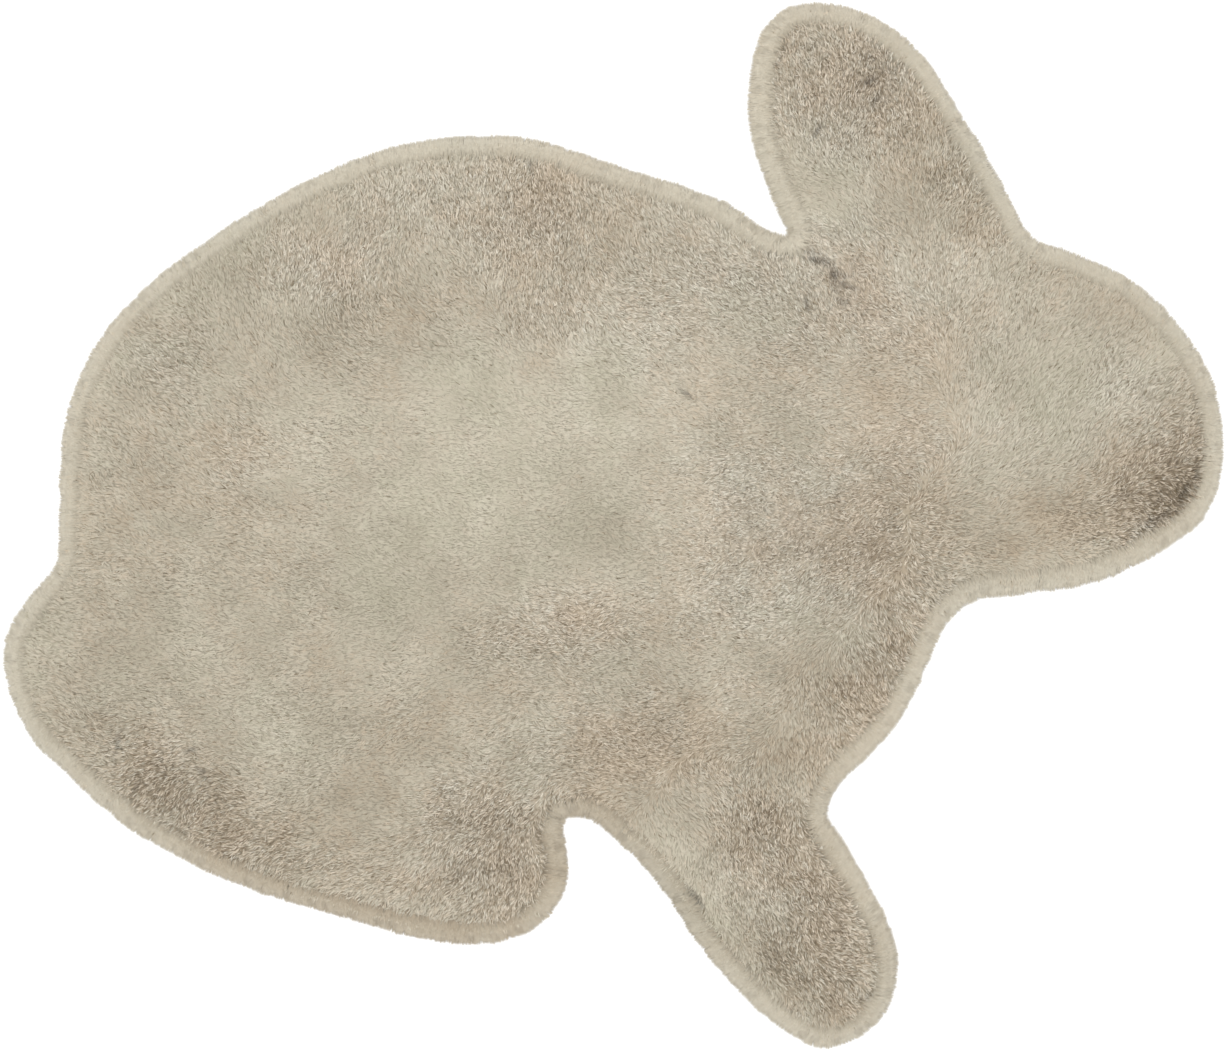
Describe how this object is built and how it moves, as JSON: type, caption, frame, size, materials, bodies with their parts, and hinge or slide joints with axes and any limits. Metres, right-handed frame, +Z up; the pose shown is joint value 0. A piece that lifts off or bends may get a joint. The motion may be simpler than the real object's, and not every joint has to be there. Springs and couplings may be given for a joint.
{
  "type": "rabbit shaped kids rug",
  "caption": "Flat faux fur floor rug cut to the side outline of a sitting rabbit, with a round shoulder and short locks of pile along its rim.",
  "frame": {"origin": "on the floor under the middle of the rug's outline", "axes": "+X from the tail to the nose, +Y from the paws to the ear, +Z up through the pile"},
  "size_m": [0.9999, 0.8564, 0.026],
  "materials": {
    "fur": "soft matt greige faux fur pile, lighter along the rim"
  },
  "bodies": {
    "root": {"fur_rug": "fur"}
  },
  "joints": []
}
